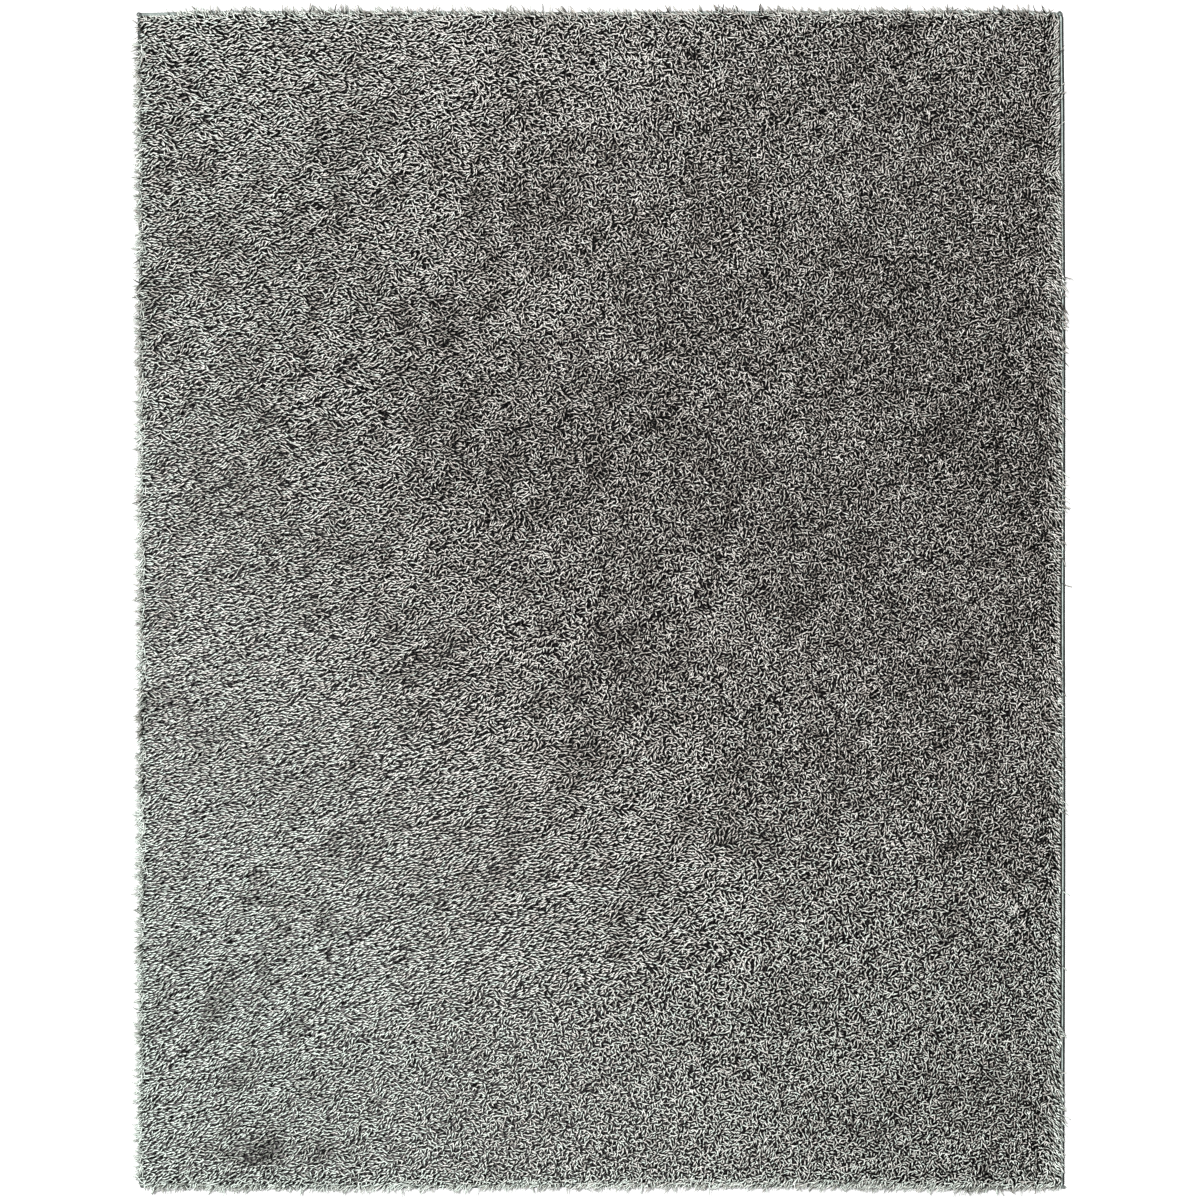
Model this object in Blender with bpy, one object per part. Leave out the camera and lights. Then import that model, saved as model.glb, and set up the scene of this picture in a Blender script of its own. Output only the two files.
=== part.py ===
"""Shag rug, 2.40 x 3.05 m, lying flat.

Run with: blender --background --python part.py

Metres, +Z up. The origin is on the underside, at the middle of the rug. +X runs to the
right-hand edge, whose overcast binding shows, and +Y to the head end. The rug is one tufted
cloth, shag_pile, with four overcast bindings sewn round its edges. Its pile lies flatter and
lower towards the left, hangs over the bindings there and at both ends, and stands upright
beside the right-hand binding, which it leaves bare.
"""

import math
import random
from collections import namedtuple

import bmesh
import bpy
from mathutils import Vector, noise

# ---- Driving sizes ----
RUG_WIDTH = 2.400  # X, over the bindings
RUG_LENGTH = 3.050  # Y, over the bindings
HALF_WIDTH = RUG_WIDTH / 2
HALF_LENGTH = RUG_LENGTH / 2

BINDING_WIDTH = 0.010
BINDING_HEIGHT = 0.007
BINDING_STATIONS = 40  # sections along each run
BUTT_GAP = 0.0003  # where two bindings butt
GROUND_GAP = 0.0007  # between the ground cloth's edge and the binding sewn round it

PILE_LYING = 0.027  # height of the pile where it lies flat, at the left
PILE_UPRIGHT = 0.033  # height of the pile where it stands, at the right
SHOULDER_HEIGHT = 0.021  # where the pile has rounded over to its side
SHOULDER_BACK = 0.005  # from the side's outermost line back to the shoulder
FIELD_INSET = 0.028  # from the bound edge to where the pile starts to round over
CORNER_DRAW = 0.006  # how far the rounded pile is drawn in at a corner

CLUMPS_ACROSS = 44
CLUMPS_ALONG = 56
CLUMP_SHIFT = 0.30  # sideways scatter of the clumps, as a share of their pitch
CLUMP_RISE = 0.003  # up or down, each by itself
LUMP_RISE = 0.0055  # of lumps a few clumps across
LUMP_SIZE = 0.16
SWELL_RISE = 0.0025  # of broad swells
SWELL_SIZE = 0.60

LOCK_WIDTH = 0.016  # of a lock at its root
LOCK_TAPER = 0.55  # its size at the bend, as a share of the root's
LOCK_BEND = 0.55  # where it bends, as a share of its reach
LOCK_SWEEP = 0.010  # how far its tip may be swept along the edge
LOCK_DROOP = 0.003  # how far its bend stays over the lip, and its back over a straight line
LONGEST_REACH = 0.014  # of the longest lock on each side, past the bound edge

GREY = (0.36, 0.365, 0.35, 1.0)
SLATE = (0.16, 0.19, 0.19, 1.0)

# ---- The four sides ----
# out: the way that points out of the rug. half: from the rug's middle to the bound edge.
# cover: how far the rounded pile reaches past the bound edge, or, below zero, short of it.
# lip: height of its outermost line. tuck: height of the ground cloth's edge under it.
# short, long: how far the locks' tips reach past the bound edge. low, high: their heights.
# insets: (share of the side, metres drawn in) along the bound edge's uneven line, from the
# foot to the head, or from the left to the right.
Side = namedtuple("Side", "out half cover lip tuck short long low high insets")
SIDES = {
    "left": Side(
        Vector((-1, 0)), HALF_WIDTH, 0.001, 0.011, 0.009, 0.005, 0.014, 0.003, 0.009,
        ((0.0, 0.003), (0.2, 0.006), (0.5, 0.007), (0.8, 0.0035), (1.0, 0.0)),
    ),
    "right": Side(
        Vector((1, 0)), HALF_WIDTH, -0.015, 0.009, 0.004, -0.008, 0.003, 0.011, 0.014,
        ((0.0, 0.0025), (0.3, 0.0), (0.5, 0.001), (0.7, 0.0), (0.9, 0.002), (1.0, 0.005)),
    ),
    "foot": Side(
        Vector((0, -1)), HALF_LENGTH, 0.001, 0.011, 0.009, 0.003, 0.010, 0.003, 0.009,
        ((0.0, 0.005), (0.2, 0.0025), (0.6, 0.007), (0.75, 0.006), (0.9, 0.0), (1.0, 0.003)),
    ),
    "head": Side(
        Vector((0, 1)), HALF_LENGTH, 0.001, 0.011, 0.009, 0.004, 0.013, 0.004, 0.012,
        ((0.0, 0.006), (0.1, 0.0015), (0.3, 0.002), (0.5, 0.0045), (0.65, 0.0015), (0.95, 0.0),
         (1.0, 0.006)),
    ),
}

# The binding's section: (share of its width from its outer edge, share of its height).
BINDING_SECTION = (
    (0.16, 0.0), (0.84, 0.0), (1.0, 0.30), (0.94, 0.70),
    (0.68, 0.97), (0.32, 1.0), (0.06, 0.72), (0.0, 0.30),
)
# The long bindings end in a thicker turned-over stitch: (metres from the end, size there).
BINDING_ENDS = ((0.0, 0.60), (0.003, 1.02), (0.008, 1.22), (0.013, 1.18), (0.024, 1.0))


def between(stations, at):
    """The value at a place on a table of (place, value), eased from one row to the next."""
    for (a, low), (b, high) in zip(stations, stations[1:]):
        if at <= b:
            part = max(0.0, (at - a) / (b - a))
            return low + (high - low) * part * part * (3 - 2 * part)
    return stations[-1][1]


def bound(name, spot):
    """How far a side's uneven bound edge lies from the rug's middle, beside a plan point."""
    side = SIDES[name]
    along, half = (spot.y, HALF_LENGTH) if side.out.x else (spot.x, HALF_WIDTH)
    return side.half - between(side.insets, (along + half) / (2 * half))


def sides_at(i, j):
    """The sides whose rim holds the grid point (i, j): none, one, or two at a corner."""
    on_rim = {"left": i == 0, "right": i == CLUMPS_ACROSS, "foot": j == 0, "head": j == CLUMPS_ALONG}
    return [name for name in SIDES if on_rim[name]]


def placed(u, v, reach_of, names):
    """A plan point at the shares (u, v) of the box that reach_of gives past each bound edge.

    It is drawn in where those of its sides that are named have an uneven edge.
    """
    left, right, foot, head = (side.half + reach_of(side) for side in SIDES.values())
    straight = Vector((-left + (left + right) * u, -foot + (foot + head) * v))
    spot = straight.copy()
    for name in names:
        spot -= SIDES[name].out * (SIDES[name].half - bound(name, straight))
    return spot


def lumps(spot):
    """The height that swells and lumps add to the pile at a plan point."""
    swell = SWELL_RISE * noise.noise(Vector((spot.x, spot.y, 0.4)) / SWELL_SIZE)
    lump = LUMP_RISE * noise.noise(Vector((spot.x, spot.y, 2.7)) / LUMP_SIZE)
    return swell + lump


def pile_height(spot):
    """The top of the pile at a plan point: lying at the left, and upright at the right."""
    share = (spot.x + HALF_WIDTH) / RUG_WIDTH
    return PILE_LYING + (PILE_UPRIGHT - PILE_LYING) * share + lumps(spot)


def clump_grid(shape, chance):
    """The top of the pile. Returns its points by their place in the grid."""
    shift = CLUMP_SHIFT * RUG_WIDTH / CLUMPS_ACROSS
    points = {}
    for i in range(CLUMPS_ACROSS + 1):
        for j in range(CLUMPS_ALONG + 1):
            names = sides_at(i, j)
            spot = placed(i / CLUMPS_ACROSS, j / CLUMPS_ALONG, lambda side: -FIELD_INSET, names)
            scatter = Vector((chance.uniform(-shift, shift), chance.uniform(-shift, shift)))
            if not names:
                spot += scatter
            height = pile_height(spot) + chance.uniform(-CLUMP_RISE, CLUMP_RISE)
            points[i, j] = shape.verts.new((spot.x, spot.y, height))
    for i in range(CLUMPS_ACROSS):
        for j in range(CLUMPS_ALONG):
            corners = points[i, j], points[i + 1, j], points[i + 1, j + 1], points[i, j + 1]
            shape.faces.new(corners)
    return points


def rim_places():
    """The grid's rim places in order, anticlockwise from the foot's left end."""
    rim = [(i, 0) for i in range(CLUMPS_ACROSS)]
    rim += [(CLUMPS_ACROSS, j) for j in range(CLUMPS_ALONG)]
    rim += [(i, CLUMPS_ALONG) for i in range(CLUMPS_ACROSS, 0, -1)]
    rim += [(0, j) for j in range(CLUMPS_ALONG, 0, -1)]
    return rim


def rim_line(rim, chance):
    """The rim as (u, v, sides that the point is on, side that the run after it is on).

    A point for the far side of a lock's root comes after each of the grid's own.
    """
    line = []
    for (i, j), (next_i, next_j) in zip(rim, rim[1:] + rim[:1]):
        u, v = i / CLUMPS_ACROSS, j / CLUMPS_ALONG
        step_u, step_v = next_i / CLUMPS_ACROSS - u, next_j / CLUMPS_ALONG - v
        run = math.hypot(step_u * RUG_WIDTH, step_v * RUG_LENGTH)
        part = LOCK_WIDTH * chance.uniform(0.8, 1.25) / run
        shared = [name for name in sides_at(i, j) if name in sides_at(next_i, next_j)]
        line.append((u, v, sides_at(i, j), shared[0]))
        line.append((u + step_u * part, v + step_v * part, shared, shared[0]))
    return line


def top_ring(shape, points, rim, line):
    """The grid's rim points in order, with one for each lock's root put in after each."""
    ring = []
    for place, next_place, (u, v, names, _) in zip(rim, rim[1:] + rim[:1], line[1::2]):
        start = points[place]
        edge = shape.edges.get((start, points[next_place]))
        _, root = bmesh.utils.edge_split(edge, start, 0.5)
        spot = placed(u, v, lambda side: -FIELD_INSET, names)
        root.co = (spot.x, spot.y, pile_height(spot))
        ring += [start, root]
    return ring


def ring_of(shape, line, reach_of, height_of, drawn=0.0):
    """A ring of points round the rug, at each side's reach past its edge and its height."""
    ring = []
    for u, v, names, run_name in line:
        spot = placed(u, v, reach_of, names)
        if len(names) > 1:
            spot -= Vector((math.copysign(drawn, spot.x), math.copysign(drawn, spot.y)))
        ring.append(shape.verts.new((spot.x, spot.y, height_of(SIDES[run_name], spot))))
    return ring


def stitched(shape, upper, lower):
    """Quads between two rings that have the same number of points. Returns them in order."""
    around = zip(upper, upper[1:] + upper[:1], lower, lower[1:] + lower[:1])
    return [shape.faces.new((b, a, c, d)) for a, b, c, d in around]


def add_lock(shape, root, side, reach, sweep, tip_height):
    """Draws one face of the pile's side out into a four-sided lock, bent once, to a point."""
    out = side.out.to_3d()
    along = Vector((-out.y, out.x, 0))
    middle = root.calc_center_median()
    bend = bmesh.ops.extrude_discrete_faces(shape, faces=[root])["faces"][0]
    centre = middle + (out * reach + along * sweep) * LOCK_BEND
    centre.z = max(side.lip, (middle.z + tip_height) / 2) + LOCK_DROOP
    for corner in bend.verts:
        corner.co = centre + (corner.co - middle) * LOCK_TAPER
    tip = bmesh.ops.poke(shape, faces=[bend])["verts"][0]
    tip.co = middle + out * reach + along * sweep
    tip.co.z = tip_height
    return tip


def rim_locks(shape, roots, line, chance):
    """One lock from each root face. The longest on each side reaches LONGEST_REACH."""
    tips = {name: [] for name in SIDES}
    for root, (_, _, _, name) in list(zip(roots, line))[::2]:
        side = SIDES[name]
        middle = root.calc_center_median()
        edge = bound(name, middle) - middle.xy.dot(side.out)
        reach = edge + chance.uniform(side.short, side.long)
        sweep = chance.uniform(-LOCK_SWEEP, LOCK_SWEEP)
        height = chance.uniform(side.low, side.high)
        tips[name].append(add_lock(shape, root, side, reach, sweep, height))
    for name, made in tips.items():
        out = SIDES[name].out.to_3d()
        longest = max(made, key=lambda tip: tip.co.dot(out))
        longest.co += out * (SIDES[name].half + LONGEST_REACH - longest.co.dot(out))


def new_object(shape, name, material):
    """A mesh object from a bmesh, which it frees, with its faces turned to point out."""
    bmesh.ops.recalc_face_normals(shape, faces=shape.faces)
    if shape.calc_volume(signed=True) < 0:
        bmesh.ops.reverse_faces(shape, faces=shape.faces)
    mesh = bpy.data.meshes.new(name)
    shape.to_mesh(mesh)
    shape.free()
    mesh.materials.append(material)
    bpy.context.scene.collection.objects.link(bpy.data.objects.new(name, mesh))


def shag_pile(material):
    """The tufted cloth: flat ground, rounded sides with locks, and a lumpy top."""
    chance = random.Random(7)
    shape = bmesh.new()
    points = clump_grid(shape, chance)
    rim = rim_places()
    line = rim_line(rim, chance)

    top = top_ring(shape, points, rim, line)
    shoulder = ring_of(
        shape,
        line,
        reach_of=lambda side: side.cover - SHOULDER_BACK,
        height_of=lambda side, spot: SHOULDER_HEIGHT + lumps(spot),
        drawn=CORNER_DRAW,
    )
    lip = ring_of(
        shape,
        line,
        reach_of=lambda side: side.cover,
        height_of=lambda side, spot: side.lip,
        drawn=CORNER_DRAW,
    )
    ground = -BINDING_WIDTH - GROUND_GAP
    tuck = ring_of(shape, line, lambda side: ground, lambda side, spot: side.tuck)
    base = ring_of(shape, line, lambda side: ground, lambda side, spot: 0.0)

    stitched(shape, top, shoulder)
    roots = stitched(shape, shoulder, lip)
    stitched(shape, lip, tuck)
    stitched(shape, tuck, base)
    shape.faces.new(base)
    rim_locks(shape, roots, line, chance)
    new_object(shape, "shag_pile", material)


def swept(shape, sections):
    """A closed bar through sections that have the same number of points."""
    rings = [[shape.verts.new(point) for point in section] for section in sections]
    for ring, following in zip(rings, rings[1:]):
        stitched(shape, ring, following)
    shape.faces.new(rings[0])
    shape.faces.new(reversed(rings[-1]))


def binding_section(name, along, size):
    """The binding's section at a place along a side, at a share of its full size.

    A larger stitch grows up from the floor, and a smaller one shrinks to the bound edge.
    """
    side = SIDES[name]
    run = Vector((abs(side.out.y), abs(side.out.x)))
    section = []
    for across, up in BINDING_SECTION:
        edge = bound(name, run * along) - BINDING_WIDTH * min(size, 1.0) * across
        spot = run * along + side.out * edge
        section.append((spot.x, spot.y, BINDING_HEIGHT * size * up))
    return section


def long_binding(name, material):
    """A full-length binding, with a thicker turned-over stitch at each end."""
    corner = SIDES[name].out * HALF_WIDTH
    low, high = -bound("foot", corner), bound("head", corner)
    places = [(low + at, size) for at, size in BINDING_ENDS]
    first, last = low + BINDING_ENDS[-1][0], high - BINDING_ENDS[-1][0]
    for step in range(1, BINDING_STATIONS):
        places.append((first + (last - first) * step / BINDING_STATIONS, 1.0))
    places += [(high - at, size) for at, size in reversed(BINDING_ENDS)]
    shape = bmesh.new()
    swept(shape, [binding_section(name, along, size) for along, size in places])
    new_object(shape, f"edge_binding_{name}", material)


def end_binding(name, material):
    """A binding across one end, which butts against the two long ones."""
    corner = SIDES[name].out * HALF_LENGTH
    low = -bound("left", corner) + BINDING_WIDTH + BUTT_GAP
    high = bound("right", corner) - BINDING_WIDTH - BUTT_GAP
    shape = bmesh.new()
    sections = []
    for step in range(BINDING_STATIONS + 1):
        sections.append(binding_section(name, low + (high - low) * step / BINDING_STATIONS, 1.0))
    swept(shape, sections)
    new_object(shape, f"edge_binding_{name}", material)


def yarn(name, colour, roughness):
    """A plain dyed-yarn material."""
    material = bpy.data.materials.new(name)
    material.use_nodes = True
    shader = material.node_tree.nodes["Principled BSDF"]
    shader.inputs["Base Color"].default_value = colour
    shader.inputs["Roughness"].default_value = roughness
    shader.inputs["Metallic"].default_value = 0.0
    return material


def main():
    for old in list(bpy.data.objects):
        bpy.data.objects.remove(old)
    shag_pile(yarn("pile_yarn", GREY, 0.8))
    binding_yarn = yarn("binding_yarn", SLATE, 0.75)
    for name in ("left", "right"):
        long_binding(name, binding_yarn)
    for name in ("head", "foot"):
        end_binding(name, binding_yarn)


main()
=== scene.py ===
"""A heathered grey shag rug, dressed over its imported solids.

Run as a script, it makes every piece of the rug and its stage. X runs to the right of the
rug, Y to its head and Z up, in metres, as in the frame.
"""

import math
from collections import namedtuple

import bpy
import numpy as np
from bpy.props import FloatProperty, FloatVectorProperty, IntProperty, PointerProperty
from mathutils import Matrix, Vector
from mathutils.bvhtree import BVHTree


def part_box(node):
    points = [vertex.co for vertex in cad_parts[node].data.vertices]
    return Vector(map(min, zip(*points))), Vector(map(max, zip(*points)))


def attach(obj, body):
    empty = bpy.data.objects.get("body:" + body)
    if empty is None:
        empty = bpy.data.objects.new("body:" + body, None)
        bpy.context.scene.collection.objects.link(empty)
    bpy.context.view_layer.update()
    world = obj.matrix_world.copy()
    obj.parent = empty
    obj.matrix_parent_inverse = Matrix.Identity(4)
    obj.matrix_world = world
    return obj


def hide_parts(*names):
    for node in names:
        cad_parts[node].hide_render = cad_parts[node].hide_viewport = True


bl_info = {
    "name": "Shag Rug",
    "version": (1, 0, 0),
    "blender": (4, 5, 0),
    "location": "3D View > Sidebar > Rug",
    "description": "Makes a shag rug: ground cloth, pile, overcast bindings and a studio stage",
    "category": "Object",
}

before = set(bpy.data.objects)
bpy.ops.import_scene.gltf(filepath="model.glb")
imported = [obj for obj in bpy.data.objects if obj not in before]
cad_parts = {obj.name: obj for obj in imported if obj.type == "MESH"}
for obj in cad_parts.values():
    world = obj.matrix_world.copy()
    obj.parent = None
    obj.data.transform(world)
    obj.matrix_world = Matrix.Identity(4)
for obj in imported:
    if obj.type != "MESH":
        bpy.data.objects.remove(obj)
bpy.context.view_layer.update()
BODY = "root"

# ---- Sizes that the frame gives ----
BINDINGS = {name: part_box(f"edge_binding_{name}") for name in ("left", "right", "foot", "head")}
LEFT = BINDINGS["left"][0].x  # the bound edges, where they stand out furthest
RIGHT = BINDINGS["right"][1].x
FOOT = BINDINGS["foot"][0].y
HEAD = BINDINGS["head"][1].y
WIDTH, LENGTH = RIGHT - LEFT, HEAD - FOOT
EDGES = {"left": LEFT, "right": RIGHT, "foot": FOOT, "head": HEAD}
LONG_SIDES = ("left", "right")
BINDING_HEIGHT = BINDINGS["head"][1].z

# ---- The uneven bound edges, as the solids have them ----
# (share of the side, metres drawn in), from the foot to the head or the left to the right.
EDGE_INSETS = {
    "left": ((0.0, 0.003), (0.2, 0.006), (0.5, 0.007), (0.8, 0.0035), (1.0, 0.0)),
    "right": ((0.0, 0.0025), (0.3, 0.0), (0.5, 0.001), (0.7, 0.0), (0.9, 0.002), (1.0, 0.005)),
    "foot": ((0.0, 0.005), (0.2, 0.0025), (0.6, 0.007), (0.75, 0.006), (0.9, 0.0), (1.0, 0.003)),
    "head": (
        (0.0, 0.006), (0.1, 0.0015), (0.3, 0.002), (0.5, 0.0045), (0.65, 0.0015), (0.95, 0.0),
        (1.0, 0.006),
    ),
}
OUTWARD = {"left": (-1, 0), "right": (1, 0), "foot": (0, -1), "head": (0, 1)}
BINDING_WIDTH = 0.010

# The yarn's UV map, which its material reads. Each strand takes one cell of a card of dyes:
# the columns go from dark to pale, and the rows from a cool grey to a warm one.
DYE_MAP = "OFBake"
DYE_COLUMNS = 48
DYE_ROWS = 4
CELL_MARGIN = 0.06  # of a cell's width, left free at each side


# ---- Sizes and colours that a user would change ----
def metres(name, description, default, **limits):
    """A setting that is a length."""
    return FloatProperty(name=name, description=description, default=default, unit="LENGTH", **limits)


def colour(name, description, default):
    """A setting that is a colour."""
    return FloatVectorProperty(name=name, description=description, default=default, subtype="COLOR")


class RugPile(bpy.types.PropertyGroup):
    """The strands of the pile."""

    row_pitch: metres("Row pitch", "From one row of strands to the next", 0.0076, min=0.004)
    standing_pitch: metres("Standing pitch", "Along a row, where the pile stands", 0.0076, min=0.004)
    lying_pitch: metres("Lying pitch", "Along a row, where the pile lies down", 0.0120, min=0.004)
    length: metres("Length", "Length of a strand over the bed", 0.0265)
    thickness: metres("Thickness", "Thickness of a strand", 0.0042)
    seed: IntProperty(name="Seed", description="Draws another lie of the pile", default=11)


class RugDyes(bpy.types.PropertyGroup):
    """The colours of the yarns."""

    darkest: FloatProperty(
        name="Darkest", description="How light the darkest yarn looks", default=0.05, min=0, max=1
    )
    palest: FloatProperty(
        name="Palest", description="How light the palest yarn looks", default=0.95, min=0, max=1
    )
    dark_tint: colour("Dark tint", "Tint of the dark yarns", (1.0, 0.90, 0.77))
    pale_tint: colour("Pale tint", "Tint of the pale yarns", (0.975, 0.992, 0.93))
    cool: colour("Cool", "Tint of the coolest yarn", (0.905, 0.995, 0.975))
    warm: colour("Warm", "Tint of the warmest yarn", (1.0, 0.948, 0.952))
    binding: colour("Binding", "The binding's yarn", (0.290, 0.337, 0.317))
    ground: colour("Ground", "The ground cloth's yarn", (0.46, 0.43, 0.37))


class RugBinding(bpy.types.PropertyGroup):
    """The overcast edge."""

    shown_pitch: metres("Stitch pitch", "From one stitch to the next where the binding shows", 0.0052)
    hidden_pitch: metres("Covered pitch", "From one stitch to the next under the pile", 0.0095)
    ridge: metres("Ridge", "How far a stitch stands up", 0.0007)


class RugStage(bpy.types.PropertyGroup):
    """The floor, the light and the camera."""

    floor: colour("Floor", "The floor's colour", (0.70, 0.70, 0.70))
    floor_size: metres("Floor size", "Side of the floor", 80.0)
    key: FloatProperty(name="Key light", description="Strength of the key light", default=5.1)
    sky: FloatProperty(name="Sky light", description="Strength of the light all round", default=0.77)
    lens: FloatProperty(name="Lens", description="Focal length in millimetres", default=200.0)


# ---- Shader maths ----
OBJECT_PLACE = 3  # the output of a Texture Coordinate node that gives the place in metres


class Wire:
    """A socket's value in a material, on which sums are written as in Python."""

    def __init__(self, dye, socket):
        self.dye, self.socket = dye, socket

    def maths(self, operation, *values, clamp=False):
        """The values, this one or more, put through a Math node."""
        settings = {"operation": operation, "use_clamp": clamp}
        return self.dye.add("ShaderNodeMath", settings, dict(enumerate(values)))

    def __add__(self, other):
        return self.maths("ADD", self, other)

    def __sub__(self, other):
        return self.maths("SUBTRACT", self, other)

    def __rsub__(self, other):
        return self.maths("SUBTRACT", other, self)

    def __mul__(self, other):
        return self.maths("MULTIPLY", self, other)

    def __truediv__(self, other):
        return self.maths("DIVIDE", self, other)

    def __pow__(self, other):
        return self.maths("POWER", self, other)

    __radd__ = __add__
    __rmul__ = __mul__

    def floor(self):
        return self.maths("FLOOR", self)

    def fraction(self):
        return self.maths("FRACT", self)

    def sine(self):
        return self.maths("SINE", self)

    def cosine(self):
        return self.maths("COSINE", self)

    def clamped(self):
        return self.maths("ADD", self, 0.0, clamp=True)

    def ramp(self, low, high):
        """0 where this is under low and 1 where it is over high, eased between."""
        settings = {"interpolation_type": "SMOOTHSTEP"}
        inputs = {"Value": self, "From Min": low, "From Max": high}
        return self.dye.add("ShaderNodeMapRange", settings, inputs)


class Dye:
    """A material being made: it adds nodes, sets them and links them."""

    def __init__(self, name):
        self.material = bpy.data.materials.new(name)
        self.material.use_nodes = True
        self.tree = self.material.node_tree
        self.tree.nodes.clear()

    def add(self, kind, settings=None, inputs=None, output=0):
        """Adds a node, its settings first and then its sockets. Returns one output."""
        node = self.tree.nodes.new(kind)
        for name, value in (settings or {}).items():
            setattr(node, name, value)
        for name, value in (inputs or {}).items():
            self.feed(node.inputs[name], value)
        return Wire(self, node.outputs[output]) if node.outputs else None

    def feed(self, socket, value):
        """Links a socket, or sets it where the value is plain."""
        if isinstance(value, Wire):
            self.tree.links.new(value.socket, socket)
        else:
            socket.default_value = value

    def parts(self, vector):
        """The X, Y and Z of a vector."""
        split = self.add("ShaderNodeSeparateXYZ", inputs={0: vector})
        return [Wire(self, output) for output in split.socket.node.outputs]

    def place(self):
        """The X, Y and Z of the point being coloured, in metres from the rug's middle."""
        return self.parts(self.add("ShaderNodeTexCoord", output=OBJECT_PLACE))

    def vector(self, x, y, z=0.0):
        return self.add("ShaderNodeCombineXYZ", inputs={"X": x, "Y": y, "Z": z})

    def blend(self, share, first, second, how="MIX"):
        """Two colours mixed by a share."""
        settings = {"data_type": "RGBA", "blend_type": how, "clamp_factor": True}
        mixed = self.add("ShaderNodeMix", settings, output=2)
        node = mixed.socket.node
        sockets = [node.inputs[0], *(s for s in node.inputs if s.type == "RGBA")]
        for socket, value in zip(sockets, (share, first, second)):
            self.feed(socket, value)
        return mixed

    def tinted(self, value, tint):
        """A grey of this value, dyed with a tint."""
        grey = self.add("ShaderNodeCombineColor", inputs={0: value, 1: value, 2: value})
        return self.blend(1.0, grey, tint, "MULTIPLY")

    def noise(self, place, scale=1.0, detail=2.0):
        """A cloudy value, mostly from 0.3 to 0.7."""
        inputs = {"Vector": place, "Scale": scale, "Detail": detail}
        return self.add("ShaderNodeTexNoise", inputs=inputs)

    def finished(self, gloss, **inputs):
        """Closes the material with one Principled shader. Returns the material."""
        inputs = {name.replace("_", " ").title(): value for name, value in inputs.items()}
        inputs["Specular IOR Level"] = gloss
        shader = self.add("ShaderNodeBsdfPrincipled", inputs=inputs)
        self.add("ShaderNodeOutputMaterial", inputs={"Surface": shader})
        return self.material

    def raised(self, height, strength, distance):
        """The normal of a surface with this relief, whose full height is the distance."""
        inputs = {"Height": height, "Strength": strength, "Distance": distance}
        return self.add("ShaderNodeBump", inputs=inputs)


def opaque(tint):
    return (*tint, 1.0)


EYE = 2.2  # the power that turns how light a dye looks into how much light it gives back
TURN = 2 * math.pi
PLY_TURNS = 3.6  # how often a strand's plies go round it
WOVEN_REPEAT = 0.004  # one thread of the ground cloth over and one under


def yarn_material(dyes):
    """The heathered pile yarn. It reads only the dye map, where strands share the cells."""
    dye = Dye("pile_yarn")
    u, v, _ = dye.parts(dye.add("ShaderNodeUVMap", {"uv_map": DYE_MAP}))
    column = (u * DYE_COLUMNS).floor()
    across = (u * DYE_COLUMNS).fraction()
    row = (v * DYE_ROWS).floor()
    along = (v * DYE_ROWS).fraction()

    shade = column / (DYE_COLUMNS - 1)
    lightness = (dyes.darkest + (dyes.palest - dyes.darkest) * shade) ** EYE
    around = (across - CELL_MARGIN) / (1 - 2 * CELL_MARGIN)
    # Painted shade: each strand is dyed pale along its top and dark down its flanks and underside,
    # for the shade between neighbouring strands.
    painted_lit_top = (around * TURN).cosine().ramp(-0.05, 0.70)
    plies = ((along * PLY_TURNS + around + column * 0.37) * TURN).sine()
    fibres = dye.noise(dye.vector(across * 6, along * 11, column * 1.7 + row * 5.3), 2.0)
    # Dark at the foot, where the pile shades it, and less far up on a pale strand.
    depth = 0.03 + 0.97 * (along + 0.55 * (shade - 0.8)).ramp(0.22, 0.60)
    shadow = depth * (0.05 + 0.95 * painted_lit_top)
    value = lightness * shadow * (1 + 0.23 * plies) * (0.52 + 1.12 * fibres)
    value = value * 1.44 / (1 + 0.90 * value)  # the palest strands don't glare

    warmth = row / (DYE_ROWS - 1)
    lot = dye.blend(warmth, opaque(dyes.cool), opaque(dyes.warm))
    heather = dye.blend(shade, opaque(dyes.dark_tint), opaque(dyes.pale_tint))
    tint = dye.blend(1.0, lot, heather, "MULTIPLY")
    return dye.finished(
        gloss=0.08,
        base_color=dye.tinted(value.clamped(), tint),
        roughness=0.52 + 0.18 * fibres,
        normal=dye.raised(plies * 0.5 + fibres, 0.35, 0.0006),
    )


def bed_material(dyes):
    """Yarn deep in the pile: strands in shadow, with black gaps between them."""
    dye = Dye("pile_deep")
    x, y, z = dye.place()
    bend = dye.noise(dye.vector(x, y), 45.0, 1.0) - 0.5
    combed = dye.noise(dye.vector(x * 95 + bend * 2.0, y * 230 + bend * 5.0), detail=1.0)
    tangled = dye.noise(dye.vector(x * 190, y * 200 + bend * 3.0), detail=1.0)
    standing = (x + (y + LENGTH / 2) * 0.62).ramp(-0.5, 0.9)
    strands = (combed + (tangled - combed) * standing).ramp(0.40, 0.64)
    flecks = dye.noise(dye.vector(x * 420, y * 380, z), detail=1.0)
    # Painted shade: the deep yarn is dyed dark and the gaps between its strands near black, darkest
    # where the pile stands tall.
    deepest = 0.043 - 0.030 * standing
    lightness = deepest + (0.37 - 0.21 * standing) * strands * (0.6 + 0.8 * flecks)
    return dye.finished(
        gloss=0.05,
        base_color=dye.tinted(lightness**EYE, opaque(dyes.warm)),
        roughness=0.75 + 0.2 * flecks,
        normal=dye.raised(strands * 0.7 + flecks * 0.3, 0.9, 0.004),
    )


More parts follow.
